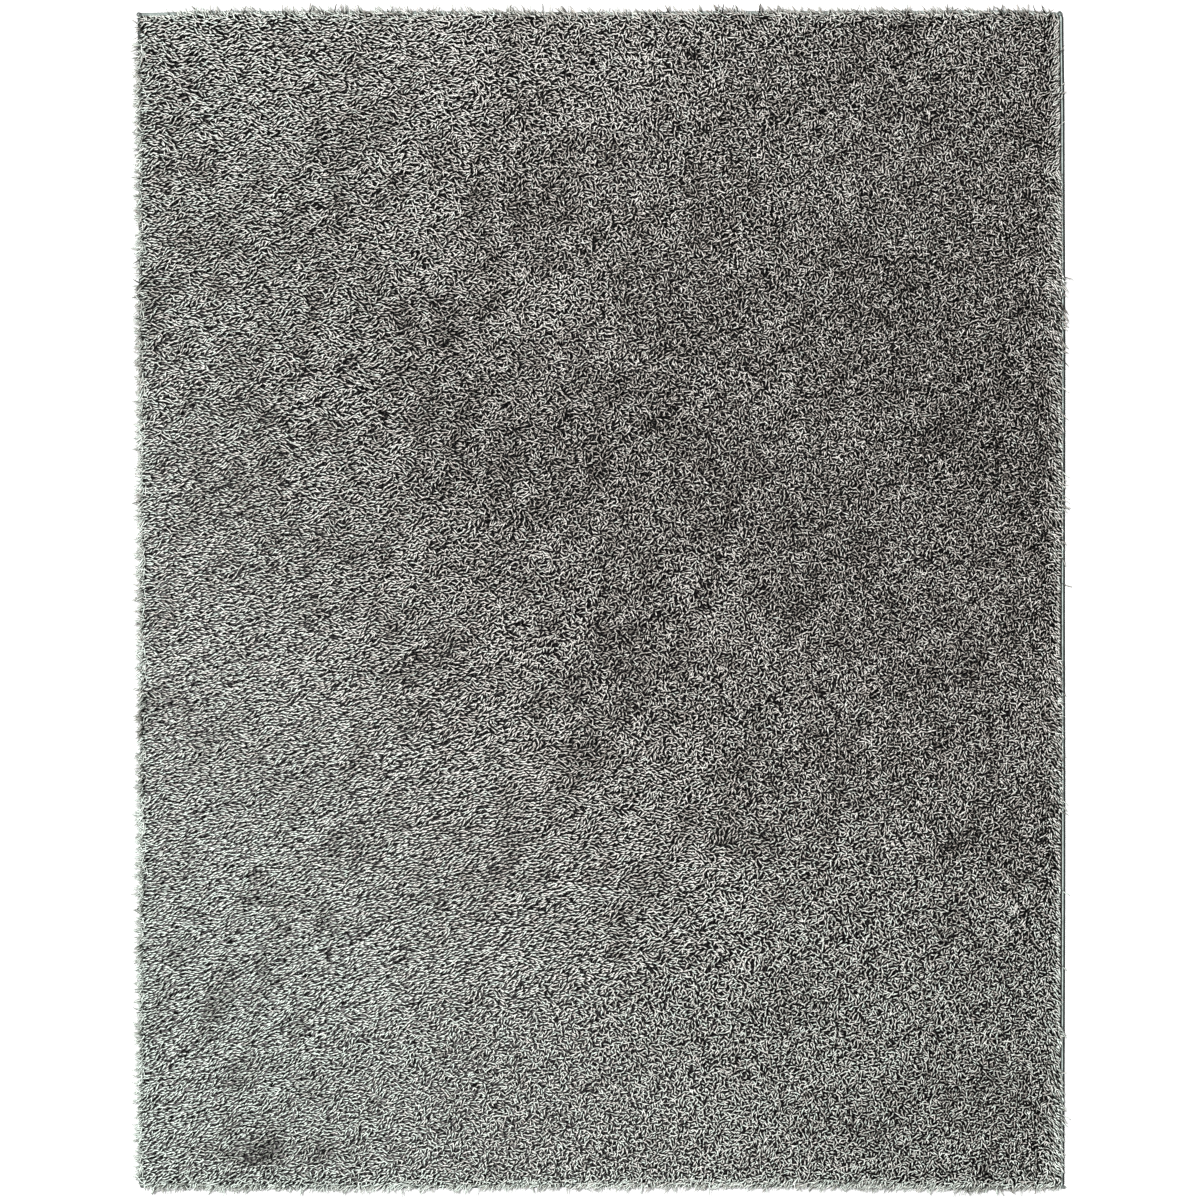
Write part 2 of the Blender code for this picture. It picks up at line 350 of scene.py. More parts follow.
def binding_material(dyes, name, lip, crest):
    """The slate overcasting yarn, with painted shade on the low lips and a painted highlight on the
    crest.
    """
    dye = Dye(name)
    x, y, z = dye.place()
    fibres = dye.noise(dye.vector(x * 900, y * 900, z * 500))
    patches = dye.noise(dye.vector(x, y, z), 45.0)
    # Painted light and shade: the crest is dyed paler than the low lips, as light falls on it.
    crown = z.ramp(BINDING_HEIGHT * 0.55, BINDING_HEIGHT * 0.98)
    value = (lip + (crest - lip) * crown) * (0.7 + 0.6 * fibres) * (0.5 + patches)
    return dye.finished(
        gloss=0.12,
        base_color=dye.tinted(value, opaque(dyes.binding)),
        roughness=0.55 + 0.25 * fibres,
        normal=dye.raised(fibres, 0.5, 0.0005),
    )


def ground_material(dyes):
    """The plain woven ground cloth, which shows on the underside."""
    dye = Dye("ground_cloth")
    x, y, _ = dye.place()
    threads = TURN / WOVEN_REPEAT
    over = (x * threads).sine() * (y * threads).sine()
    slubs = dye.noise(dye.vector(x * 40, y * 400))
    value = 0.72 + 0.18 * over + 0.35 * slubs
    return dye.finished(
        gloss=0.25,
        base_color=dye.tinted(value, opaque(dyes.ground)),
        roughness=0.8 + 0.1 * slubs,
        normal=dye.raised(over, 0.6, 0.0008),
    )


# ---- Shape helpers ----
def ease(value, low, high):
    """0 under low and 1 over high, eased between."""
    part = np.clip((value - low) / (high - low), 0, 1)
    return part * part * (3 - 2 * part)


def bell(value, middle, half):
    """1 at the middle, falling off on both sides."""
    return np.exp(-(((value - middle) / half) ** 2))


def between(values, share):
    """From the first of two values, at a share of 0, to the second, at 1."""
    return values[0] + (values[1] - values[0]) * share


def unit(vectors):
    return vectors / np.maximum(np.linalg.norm(vectors, axis=-1, keepdims=True), 1e-9)


class Ripples:
    """A smooth random field: many waves of like length, which `stretch` draws out along X."""

    WAVES = 24

    def __init__(self, seed, shortest, longest, stretch=1.0):
        chance = np.random.default_rng(seed)
        turn = chance.uniform(0, TURN, self.WAVES)
        number = TURN / chance.uniform(shortest, longest, self.WAVES)
        self.x = np.cos(turn) * number / stretch
        self.y = np.sin(turn) * number
        self.start = chance.uniform(0, TURN, self.WAVES)
        self.scale = math.sqrt(2 / self.WAVES)

    def at(self, x, y):
        """The field's value, mostly between -2 and 2."""
        return self.scale * np.sin(self.phase(x, y)).sum(-1)

    def slope(self, x, y):
        """The way in which the field rises, as (x, y), mostly under 2 long."""
        wave = np.cos(self.phase(x, y))
        steep = math.sqrt(float((self.x**2 + self.y**2).mean()))
        return np.stack([wave @ self.x, wave @ self.y], -1) * self.scale / steep

    def phase(self, x, y):
        return np.multiply.outer(x, self.x) + np.multiply.outer(y, self.y) + self.start


def edge_inset(name, x, y):
    """How far a side's bound edge is drawn in, beside the points (x, y)."""
    share = (y - FOOT) / LENGTH if name in LONG_SIDES else (x - LEFT) / WIDTH
    found = np.zeros_like(share)
    stations = EDGE_INSETS[name]
    for (a, low), (b, high) in zip(stations, stations[1:]):
        here = low + (high - low) * ease(share, a, b)
        found = np.where(share >= a, here, found)
    return found


def depth_from(name, x, y):
    """How far inside a side's bound edge the points (x, y) lie."""
    way = OUTWARD[name]
    far = EDGES[name] * sum(way)
    return far - edge_inset(name, x, y) - (x * way[0] + y * way[1])


def depth_inside(x, y):
    """How far inside the nearest bound edge the points lie."""
    return np.minimum.reduce([depth_from(name, x, y) for name in OUTWARD])


def rug_shares(x, y):
    """How far across, from 0 at the left to 1, and how far down, from 0 at the head to 1."""
    return (x - LEFT) / WIDTH, (HEAD - y) / LENGTH


# ---- How the pile lies ----
# Places where the pile is dyed darker or paler: painted shade where it is ruffled up, and painted
# sheen where it is pressed flat.
Patch = namedtuple("Patch", "across down half_across half_down paler")
PATCHES = (
    Patch(0.13, 0.968, 0.09, 0.013, -0.22),
    Patch(0.88, 0.920, 0.09, 0.028, -0.18),
    Patch(0.78, 0.948, 0.04, 0.014, -0.18),
    Patch(0.32, 0.03, 0.50, 0.07, 0.095),
    Patch(0.24, 0.57, 0.12, 0.08, 0.06),
    Patch(0.95, 0.80, 0.25, 0.10, 0.035),
    Patch(0.62, 0.93, 0.50, 0.14, 0.065),
    Patch(0.10, 0.17, 0.10, 0.06, -0.04),
    Patch(0.10, 0.46, 0.12, 0.08, 0.04),
    Patch(0.45, 0.40, 0.20, 0.15, -0.03),
    Patch(0.95, 0.36, 0.18, 0.18, -0.06),
    Patch(0.89, 0.33, 0.06, 0.05, -0.05),
    Patch(0.44, 0.23, 0.03, 0.020, 0.08),
    Patch(0.08, 0.29, 0.07, 0.04, 0.07),
    Patch(0.006, 0.5, 0.006, 9.0, 0.08),
    Patch(0.62, 0.93, 0.03, 0.07, 0.06),
    Patch(0.45, 0.82, 0.07, 0.05, 0.05),
    Patch(0.30, 0.93, 0.03, 0.05, 0.05),
)


NECK = 0.37  # how far down the pressed part of the pile is narrowest


def pressed_sheen_share(x, y):
    """How much painted sheen the pile gets: from 0 at the right to 1 at the lower left, where it is
    pressed flat and catches the light.

    The line between runs from high on the left edge to low on the right one, and the head's
    left part is pressed too.
    """
    across, down = rug_shares(x, y)
    line = 0.05 + 1.35 * np.maximum(down - NECK, 0) + 0.8 * np.maximum(NECK - down, 0)
    return 1 - ease(across, line - 0.5, line + 0.65)


# How far from the left the pile lies down, and how flat it lies there, from head to foot.
Lie = namedtuple("Lie", "down reach flat")
LIES = (
    Lie(0.00, 0.48, 0.76), Lie(0.12, 0.38, 0.74), Lie(0.30, 0.40, 0.73), Lie(0.46, 0.34, 0.79),
    Lie(0.60, 0.42, 0.84), Lie(0.72, 0.60, 0.90), Lie(0.80, 0.54, 0.92), Lie(0.87, 0.32, 0.84),
    Lie(1.00, 0.28, 0.78),
)


def lying_share(x, y):
    """How far the pile lies down: 0 where it stands, and 1 where it was brushed flat."""
    across, down = rug_shares(x, y)
    downs, reaches, flats = zip(*LIES)
    reach = np.interp(down, downs, reaches)
    return np.interp(down, downs, flats) * (1 - ease(across, reach - 0.30, reach + 0.70))


def brushed_way(x, y):
    """The angle, anticlockwise from +X, in which the pile is brushed: to the left."""
    across, down = rug_shares(x, y)
    way = 14 * ease(down, 0.0, 0.45) + 9 * ease(down, 0.78, 0.92) - 2
    return math.pi + np.radians(way + 5 * np.sin(5 * across + 9 * down))


GRID_STEP = 0.02  # between the places where the solid's top is measured
GRID_MARGIN = 0.03  # from the bound edges to the first of them


def top_height():
    """The solid's top, sampled on a grid: its heights and the grid's lines."""
    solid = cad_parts["shag_pile"]
    tree = BVHTree.FromPolygons(
        [v.co for v in solid.data.vertices], [p.vertices for p in solid.data.polygons]
    )
    xs = np.arange(LEFT + GRID_MARGIN, RIGHT - GRID_MARGIN + 0.001, GRID_STEP)
    ys = np.arange(FOOT + GRID_MARGIN, HEAD - GRID_MARGIN + 0.001, GRID_STEP)
    down = Vector((0, 0, -1))
    heights = np.array([[tree.ray_cast(Vector((x, y, 1)), down)[0].z for y in ys] for x in xs])
    return xs, ys, heights


# Pairs of values: where the pile stands, and where it lies flat.
RISE = (0.0200, 0.0090)  # from the bed to the pile's top
WANDER = (44, 6)  # how far whole locks of strands turn from the brushed way, in degrees
SCATTER = (61, 11)  # how far each strand turns besides
CURL = (20, 5)  # how far each strand bends aside
LEAN_SCATTER = (17, 8)  # how far each strand's lean differs
MOTTLE = (0.75, 1.50)  # how strongly the soft patches of tone show
TONE_SCATTER = (0.170, 0.060)  # how far each strand's tone differs

# How pale the strands are dyed, from 0 at the darkest column of the card to 1 at the palest.
MIDDLE_SHADE = 0.678
# Painted sheen: how much paler the pressed pile is dyed, for the light it catches.
PRESSED_SHEEN = 0.212
UNDER_SHADE_LIFT = 0.52  # the painted shade on the strands below lifts where all lie flat, so they are as pale as the others
STRAY_SCATTER = 0.18

RIM_RISE = 0.0015  # from the binding's top to the bed beside it
BARE_DIP = 0.0045  # how much lower the bed lies beside the bare binding
SHOULDER = 0.045  # how far inside the edge the bed has its full height
ROOT_DEPTH = 0.0025  # from the bed down to a strand's root
OVER_TOP = 0.003  # how far strands may rise over the solid's top


class Bed:
    """The surface that the strands stand in, under the solid's lumps."""

    def __init__(self):
        self.xs, self.ys, self.heights = top_height()

    def top(self, x, y):
        """The pile's top at the points (x, y)."""
        across = np.clip((x - self.xs[0]) / GRID_STEP, 0, len(self.xs) - 1.001)
        along = np.clip((y - self.ys[0]) / GRID_STEP, 0, len(self.ys) - 1.001)
        i, j = across.astype(int), along.astype(int)
        fx, fy = across - i, along - j
        h = self.heights
        near = h[i, j] * (1 - fx) + h[i + 1, j] * fx
        far = h[i, j + 1] * (1 - fx) + h[i + 1, j + 1] * fx
        return near * (1 - fy) + far * fy

    def height(self, x, y):
        """The bed's own height: under the strands' rise, and rounded down at the rim."""
        full = self.top(x, y) - between(RISE, lying_share(x, y))
        bare = ease(depth_from("right", x, y), 0.05, 0.02) * ease(rim_cover("right", x, y), 0.7, 0.3)
        low = BINDING_HEIGHT + RIM_RISE - BARE_DIP * bare
        return between((low, full), ease(depth_inside(x, y), BINDING_WIDTH, SHOULDER))


def put(name, data):
    """A new object in the scene, with this mesh, light or camera."""
    thing = bpy.data.objects.new(name, data)
    bpy.context.scene.collection.objects.link(thing)
    return thing


def joined_mesh(name, places, corners, counts, uv=None, smooth=True):
    """A mesh object from arrays: points, each face's points in turn, and their counts."""
    mesh = bpy.data.meshes.new(name)
    mesh.vertices.add(len(places))
    mesh.vertices.foreach_set("co", np.ascontiguousarray(places, np.float32).ravel())
    mesh.loops.add(len(corners))
    mesh.loops.foreach_set("vertex_index", np.ascontiguousarray(corners, np.int32))
    mesh.polygons.add(len(counts))
    starts = np.concatenate([[0], np.cumsum(counts)[:-1]])
    mesh.polygons.foreach_set("loop_start", starts.astype(np.int32))
    if uv is not None:
        layer = mesh.uv_layers.new(name=DYE_MAP)
        layer.data.foreach_set("uv", np.ascontiguousarray(uv, np.float32).ravel())
    mesh.polygons.foreach_set("use_smooth", np.full(len(counts), smooth))
    mesh.update(calc_edges=True)
    mesh.validate()
    return put(name, mesh)


def lofted(name, rings, flipped):
    """A closed tube through rings of points, an array (rings, sides, 3).

    `flipped` turns its faces over, for rings that go round the other way.
    """
    count, sides = rings.shape[:2]
    ring = np.arange(sides)
    rows = np.arange(count - 1)[:, None] * sides
    low, high = rows + ring, rows + np.roll(ring, -1)
    quads = np.stack([low, low + sides, high + sides, high], -1)
    caps = np.stack([ring, ring[::-1] + (count - 1) * sides])
    if flipped:
        quads, caps = quads[..., ::-1], caps[..., ::-1]
    corners = np.concatenate([quads.ravel(), caps.ravel()])
    counts = [4] * (quads.size // 4) + [sides, sides]
    return joined_mesh(name, rings.reshape(-1, 3), corners, counts)


def dress(piece, material, slot, *nodes):
    """Gives a piece its material and its place in the frame."""
    piece.data.materials.append(material)
    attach(piece, BODY)
    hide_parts(*nodes)


# ---- Strands ----
# Each sort of strand runs from its root to its tip in a few stretches. `bends` are their
# shares of its length, and the leans are degrees from upright: over a covered binding, where
# the pile stands, where it lies and beside the bare binding. `seen` weighs the points of its
# line, root first, to the middle of what shows from above, and `pale` is added to its shade.
# A stray needs the first lean only.
Sort = namedtuple(
    "Sort",
    "name pieces thickness pale bends over upright lying beside seen length",
    defaults=(None,) * 5,
)
CROWN = Sort(
    name="crown", pieces=4, thickness=1.0, pale=0.11, bends=(0.5, 0.5), over=(50, 98),
    upright=(11, 42), lying=(62, 90), beside=(20, 58), seen=(0, 0.5, 0.5), length=1.0,
)
# Painted shade: the under strands are dyed dark, for the shade deep between the crown's strands.
UNDER = Sort(
    name="under", pieces=2, thickness=0.9, pale=-0.44, bends=(0.5, 0.5), over=(50, 100),
    upright=(18, 52), lying=(58, 88), beside=(10, 38), seen=(0, 0.7, 0.3), length=0.72,
)
STRAY = Sort(
    name="stray", pieces=1, thickness=0.64, pale=-0.10, bends=(0.31, 0.45, 0.24),
    over=(46, 84, 100),
)
RING = 3  # sides of a strand
UNDER_PITCH = 1.75  # of the crown's
JITTER = 0.25  # of a pitch, to each side
SWIRL = 0.006  # how far the rows wander, which hides that they are rows

# How the pile is combed beside each binding. `way` is in degrees anticlockwise from +X, and
# `loose` is how far strands leave it. `band` is how far in the combing reaches, and `hold` is
# its share of a strand's lie. `strays` are loose strands over the edge in each metre, which
# pass it by `least` and on average by `more` besides.
Comb = namedtuple("Comb", "way loose band hold strays least more")
COMBS = {
    "left": Comb(way=194, loose=34, band=0.012, hold=0.60, strays=640, least=0.0030, more=0.0100),
    "right": Comb(way=-42, loose=18, band=0.045, hold=0.85, strays=110, least=0.0015, more=0.0070),
    "foot": Comb(way=-126, loose=32, band=0.012, hold=0.60, strays=450, least=0.0020, more=0.0066),
    "head": Comb(way=122, loose=34, band=0.012, hold=0.60, strays=420, least=0.0000, more=0.0100),
}
TURNED_BACK = 0.42  # at the right, the strands this near the head are combed towards it

# The right-hand binding is bare but for these stretches, from `top` to `bottom` in metres below
# the head. A cover of 1 hangs past the edge, and one of 0.5 reaches half over the binding.
Stretch = namedtuple("Stretch", "top bottom cover")
COVERED = (
    Stretch(0.21, 0.23, 0.90),
    Stretch(0.42, 0.68, 0.60),
    Stretch(0.68, 0.89, 1.00),
    Stretch(0.89, 1.18, 0.62),
    Stretch(1.18, 1.29, 1.00),
    Stretch(1.29, 1.42, 0.78),
    Stretch(1.67, 1.73, 0.60),
    Stretch(1.73, 2.09, 0.75),
    Stretch(2.55, 2.57, 0.80),
    Stretch(2.63, 2.67, 0.95),
    Stretch(2.74, 3.05, 0.86),
)
BARE = 0.08  # the cover elsewhere
CORNER_ROUNDING = 0.005  # no strand comes nearer than this to a corner, its two depths added
BARE_HEAD_START = 0.095  # the head binding shows for this far from the left end


def rim_cover(name, x, y):
    """How far the pile hangs over a side's binding, from 0, bare, to 1."""
    if name == "right":
        cover = np.full_like(y, BARE)
        for stretch in COVERED:
            here = ease(HEAD - y, stretch.top - 0.008, stretch.top + 0.008)
            here = here * ease(HEAD - y, stretch.bottom + 0.008, stretch.bottom - 0.008)
            cover = np.maximum(cover, stretch.cover * here)
        return cover
    if name == "head":
        return 0.35 + 0.46 * ease(x - LEFT, BARE_HEAD_START * 0.9, BARE_HEAD_START * 1.1)
    if name == "foot":
        return np.full_like(x, 0.85)
    return 0.75 + 0.25 * ease(HEAD - y, 0.06, 0.12)


def kept_back(cover):
    """How far inside the bound edge the pile stops, for a cover of the binding."""
    return np.interp(cover, (0, 0.5, 0.8, 1), (BINDING_WIDTH + 0.005, 0.006, 0.0015, -0.03))


def combed_way(name, y, chance):
    """The angle from +X in which each strand beside a binding is combed."""
    comb = COMBS[name]
    way = np.full(len(y), float(comb.way))
    if name == "right":
        way = np.where(HEAD - y < TURNED_BACK, -way, way)
    return np.radians(way + comb.loose * chance.normal(0, 1, len(y)))


def field_spots(row_pitch, standing_pitch, lying_pitch, chance):
    """Jittered spots in rows across the rug, further apart where the strands lie along them."""
    inset = BINDING_WIDTH * 0.4
    rows = round((LENGTH - 2 * inset) / row_pitch)
    ys = FOOT + inset + (LENGTH - 2 * inset) * (np.arange(rows) + 0.5) / rows
    xs = np.linspace(LEFT + inset, RIGHT - inset, 600)
    spots = []
    for row, y in enumerate(ys):
        lying = lying_share(xs, np.full_like(xs, y))
        pitch = between((standing_pitch, lying_pitch), lying)
        count = np.concatenate([[0], np.cumsum(np.diff(xs) / pitch[1:])])
        places = np.arange(int(count[-1])) + 0.5 + 0.5 * (row % 2)
        places = places + chance.uniform(-JITTER, JITTER, len(places))
        x = np.interp(places, count, xs)
        spots.append(np.stack([x, y + row_pitch * chance.uniform(-JITTER, JITTER, len(x))], -1))
    spots = np.concatenate(spots)
    rise = Ripples(21, 0.045, 0.11).slope(*spots.T)
    calm = ease(depth_inside(*spots.T), 0.0, 0.04)[:, None]
    return spots + SWIRL * calm * np.stack([rise[:, 1], -rise[:, 0]], -1)


def stray_roots(name, chance):
    """Where a side's stray strands are rooted, close inside the binding."""
    comb = COMBS[name]
    run = LENGTH if name in LONG_SIDES else WIDTH
    along = chance.uniform(0.004, run - 0.004, round(comb.strays * run))
    depth = BINDING_WIDTH + chance.uniform(0.001, 0.006, len(along))
    way = np.array(OUTWARD[name])
    edge = np.full(len(along), EDGES[name])
    x, y = (edge, FOOT + along) if name in LONG_SIDES else (LEFT + along, edge)
    roots = np.stack([x, y], -1) - way * (edge_inset(name, x, y) + depth)[:, None]
    keep = 0.04 + 0.96 * ease(rim_cover(name, x, y), 0.7, 0.85 if name != "right" else 1.0)
    here = (depth_inside(*roots.T) > BINDING_WIDTH * 0.99) & (chance.random(len(x)) < keep)
    return roots[here]


def direction(lean, turn):
    """Unit vectors at these leans from upright and these turns from +X."""
    level = np.sin(lean)
    return np.stack([level * np.cos(turn), level * np.sin(turn), np.cos(lean)], -1)


def strand_ways(sort, x, y, chance):
    """The unit direction of each stretch of each strand, as an array (strands, stretches, 3)."""
    count = len(x)
    lying = lying_share(x, y)
    tidy = 1 - ease(1 - lying, 0.05, 0.75)
    locks = Ripples(3, 0.05, 0.13).at(x, y)
    heading = brushed_way(x, y) + np.radians(between(WANDER, tidy)) * locks
    heading += chance.normal(0, 1, count) * np.radians(between(SCATTER, tidy))
    curl = chance.normal(0, 1, count) * np.radians(between(CURL, tidy))
    gather = 0.07 * Ripples(9, 0.030, 0.070).slope(x, y)
    gather += 0.07 * lying[:, None] * Ripples(8, 0.024, 0.042, stretch=2.6).slope(x, y)
    ways = []
    for stretch, leans in enumerate(zip(sort.upright, sort.lying)):
        lean = np.radians(between(leans, lying))
        lean = lean + chance.normal(0, 1, count) * np.radians(between(LEAN_SCATTER, lying))
        way = direction(lean, heading + curl * stretch)
        way[:, :2] += gather
        ways.append(way)
    ways = np.stack(ways, 1)

    for name, comb in COMBS.items():
        depth = depth_from(name, x, y)
        cover = ease(rim_cover(name, x, y), 0.2, 0.9)
        near = comb.hold * bell(np.maximum(depth - BINDING_WIDTH, 0), 0, comb.band)[:, None]
        turn = combed_way(name, y, chance)
        for stretch, leans in enumerate(zip(sort.beside, sort.over)):
            lean = np.radians(between(leans, cover) + 12 * chance.normal(0, 1, count))
            ways[:, stretch] += (direction(lean, turn) - ways[:, stretch]) * near
    return unit(ways)


def patch_sheen_and_shade(x, y):
    """How much paler or darker the pile is dyed: painted sheen where it is pressed or combed to the
    right, painted shade where it is ruffled.
    """
    across, down = rug_shares(x, y)
    found = np.zeros_like(across)
    for patch in PATCHES:
        near = bell(across, patch.across, patch.half_across) * bell(down, patch.down, patch.half_down)
        found += patch.paler * near
    # Painted light: the pile combed over the right-hand binding is dyed paler, for the light its
    # strands catch.
    combed = bell(np.maximum(depth_from("right", x, y) - BINDING_WIDTH, 0), 0.002, 0.018)
    return found + 0.18 * combed


def strand_dyes(sort, x, y, chance):
    """Each strand's column and row on the card of dyes."""
    count = len(x)
    across, down = rug_shares(x, y)
    mottle = 0.034 * Ripples(14, 0.05, 0.11).at(x, y) + 0.040 * Ripples(15, 0.11, 0.22).at(x, y)
    mottle += 0.036 * Ripples(16, 0.25, 0.60).at(x, y)
    lying = lying_share(x, y)
    mottle *= between(MOTTLE, lying)
    shade = MIDDLE_SHADE + sort.pale + PRESSED_SHEEN * pressed_sheen_share(x, y) + mottle
    shade += patch_sheen_and_shade(x, y)
    if sort.name == "under":
        shade += UNDER_SHADE_LIFT * lying
    spread = STRAY_SCATTER if sort.name == "stray" else between(TONE_SCATTER, lying)
    shade += spread * chance.normal(0, 1, count)
    cool = ease(1 - across, 0.5, 0.95) * (0.32 + 0.22 * down) + 0.45 * ease(down, 0.5, 0.9)
    cool += 0.35 * bell(depth_inside(x, y), 0, 0.035)
    warmth = (DYE_ROWS - 1) * (1 - cool) + chance.normal(0, 0.8, count)
    column = np.clip(np.round(shade * (DYE_COLUMNS - 1)), 0, DYE_COLUMNS - 1)
    row = np.clip(np.round(warmth), 0, DYE_ROWS - 1)
    return column, row


def grown(ways, bends, lengths):
    """The points of strands that grow from (0, 0, 0), root first."""
    steps = ways * (lengths[:, None] * np.array(bends))[..., None]
    return np.concatenate([np.zeros((len(ways), 1, 3)), np.cumsum(steps, 1)], 1)


def field_strands(sort, spots, pile, chance):
    """The lines and ways of strands whose middles show at the spots, with level roots."""
    ways = strand_ways(sort, *spots.T, chance)
    lying = lying_share(*spots.T)
    lengths = pile.length * sort.length * (1 - 0.5 * lying * (1.28 - lying))
    lengths = lengths * chance.normal(1, 0.19, len(spots)).clip(0.5, 1.4)
    line = grown(ways, sort.bends, lengths)
    line[:, :, :2] -= np.einsum("npc,p->nc", line[:, :, :2], np.array(sort.seen))[:, None]
    line[:, :, :2] += spots[:, None]
    for name, out in OUTWARD.items():
        rooted = BINDING_WIDTH + 0.001 - depth_from(name, line[:, 0, 0], line[:, 0, 1])
        outermost = depth_from(name, line[:, :, 0], line[:, :, 1]).min(1)
        stop = kept_back(rim_cover(name, *spots.T)) + 0.001 * chance.normal(0, 1, len(spots))
        short = np.maximum.reduce([rooted, stop - outermost, np.zeros(len(spots))])
        line[:, :, :2] -= short[:, None, None] * np.array(out)
    return line, ways


def stray_strands(sort, name, chance):
    """The lines and ways of a side's stray strands, as long as it takes to pass the edge."""
    roots = stray_roots(name, chance)
    count = len(roots)
    turn = combed_way(name, roots[:, 1], chance)
    ways = []
    for over in sort.over:
        lean = np.radians(over + 9 * chance.normal(0, 1, count))
        ways.append(direction(lean, turn + np.radians(9) * chance.normal(0, 1, count)))
    ways = np.stack(ways, 1)
    comb = COMBS[name]
    reach = comb.least + comb.more * chance.exponential(1, count)
    needed = depth_from(name, *roots.T) + reach
    passed = grown(ways, sort.bends, np.ones(count))[:, :, :2] @ np.array(OUTWARD[name])
    line = grown(ways, sort.bends, (needed / passed.max(1).clip(0.3)).clip(0.010, 0.040))
    line[:, :, :2] += roots[:, None]
    return line, ways


def left_free(line):
    """Which strands stay clear of the rounded corners and of the yarn ends tucked in there."""
    x, y = line[:, :, 0], line[:, :, 1]
    beside = np.minimum(depth_from("left", x, y), depth_from("right", x, y))
    beyond = np.minimum(depth_from("foot", x, y), depth_from("head", x, y))
    clear = (beside + beyond).min(1) > CORNER_ROUNDING
    for end in YARN_ENDS:
        clear &= np.hypot(x - end.x, y - end.y).min(1) > end.radius + end.yarn + 0.001
    return clear


def set_in_bed(line, bed, chance):
    """Lifts strands to the bed that they stand in, and keeps them from rising too far."""
    root_x, root_y = line[:, 0, 0], line[:, 0, 1]
    line[:, :, 2] += (bed.height(root_x, root_y) - ROOT_DEPTH)[:, None]
    line[:, :, 2] += 0.0014 * chance.normal(0, 1, len(line)).clip(-2, 2)[:, None]
    highest = bed.top(root_x, root_y) + OVER_TOP
    line[:, :, 2] = np.minimum(line[:, :, 2], highest[:, None])


def strand_places(line, ways, radii, roll):
    """The points of closed strands with three sides: each one's root, rings and tip."""
    count, points = line.shape[:2]
    rings = points - 2
    places = np.zeros((count, 2 + rings * RING, 3))
    places[:, 0], places[:, -1] = line[:, 0], line[:, -1]
    level = unit(np.stack([-ways[:, 1, 1], ways[:, 1, 0], np.zeros(count)], -1))
    for ring in range(rings):
        tangent = unit(ways[:, ring] + ways[:, ring + 1])
        first = unit(np.cross(tangent, level))
        second = np.cross(tangent, first)
        for side in range(RING):
            turn = roll + side * TURN / RING
            off = first * np.cos(turn)[:, None] + second * np.sin(turn)[:, None]
            places[:, 1 + ring * RING + side] = line[:, ring + 1] + off * radii[:, None]
    return places.reshape(-1, 3)


def strand_faces(bends, column, row):
    """The strands' face corners, the count in each face, and their spots on the card of dyes."""
    ends = np.cumsum(bends)
    last = (len(bends) - 2) * RING
    faces = []  # of one strand, with each corner as (point, share round, share along)
    for side in range(RING):
        low, high = side / RING, (side + 1) / RING
        middle = (low + high) / 2
        a, b = 1 + side, 1 + (side + 1) % RING
        faces.append([(0, middle, 0), (b, high, ends[0]), (a, low, ends[0])])
        for step, near, far in zip(range(0, last, RING), ends, ends[1:]):
            face = [(a, low, near), (b, high, near), (b + RING, high, far), (a + RING, low, far)]
            faces.append([(point + step, *shares) for point, *shares in face])
        tip = (last + RING + 1, middle, 1)
        faces.append([(a + last, low, ends[-2]), (b + last, high, ends[-2]), tip])
    point, across, along = np.array([corner for face in faces for corner in face]).T
    corners = point.astype(int) + np.arange(len(column))[:, None] * (last + RING + 2)
    u = column[:, None] + CELL_MARGIN + across * (1 - 2 * CELL_MARGIN)
    v = row[:, None] + CELL_MARGIN / 4 + along * (1 - CELL_MARGIN / 2)
    uv = np.stack([u / DYE_COLUMNS, v / DYE_ROWS], -1)
    counts = np.tile([len(face) for face in faces], len(column))
    return corners.ravel(), counts, uv.reshape(-1, 2)


def sow_strands(sort, line, ways, pile, bed, material, chance):
    """One sort of strand, joined into a few pieces from the foot to the head."""
    free = left_free(line)
    line, ways = line[free], ways[free]
    order = np.argsort(line[:, 0, 1])
    line, ways = line[order], ways[order]
    count = len(line)
    set_in_bed(line, bed, chance)
    radii = pile.thickness * sort.thickness / math.sqrt(3)
    radii = radii * (1 + 0.12 * lying_share(line[:, 1, 0], line[:, 1, 1]))
    radii = radii * chance.normal(1, 0.20, count).clip(0.5, 1.5)
    line[:, :, 2] = np.maximum(line[:, :, 2], radii[:, None] + 0.0005)
    column, row = strand_dyes(sort, line[:, 1, 0], line[:, 1, 1], chance)
    roll = chance.normal(0, 0.35, count)
    for number, part in enumerate(np.array_split(np.arange(count), sort.pieces), 1):
        places = strand_places(line[part], ways[part], radii[part], roll[part])
        faces = strand_faces(sort.bends, column[part], row[part])
        piece = joined_mesh(f"pile_{sort.name}_{number}", places, *faces)
        dress(piece, material, "pile_yarn", "shag_pile")


def sow_pile(pile, material):
    """All the strands: those between, those on top and those that stray over the edges."""
    chance = np.random.default_rng(pile.seed)
    bed = Bed()
    pitches = np.array((pile.row_pitch, pile.standing_pitch, pile.lying_pitch))
    for sort, pitch in ((UNDER, UNDER_PITCH), (CROWN, 1.0)):
        spots = field_spots(*pitches * pitch, chance)
        line, ways = field_strands(sort, spots, pile, chance)
        sow_strands(sort, line, ways, pile, bed, material, chance)
    strays = [stray_strands(STRAY, name, chance) for name in OUTWARD]
    line, ways = (np.concatenate(parts) for parts in zip(*strays))
    sow_strands(STRAY, line, ways, pile, bed, material, chance)


# ---- The cloth under the strands ----
CLOTH_THICKNESS = 0.0025
BED_STEP = 0.04


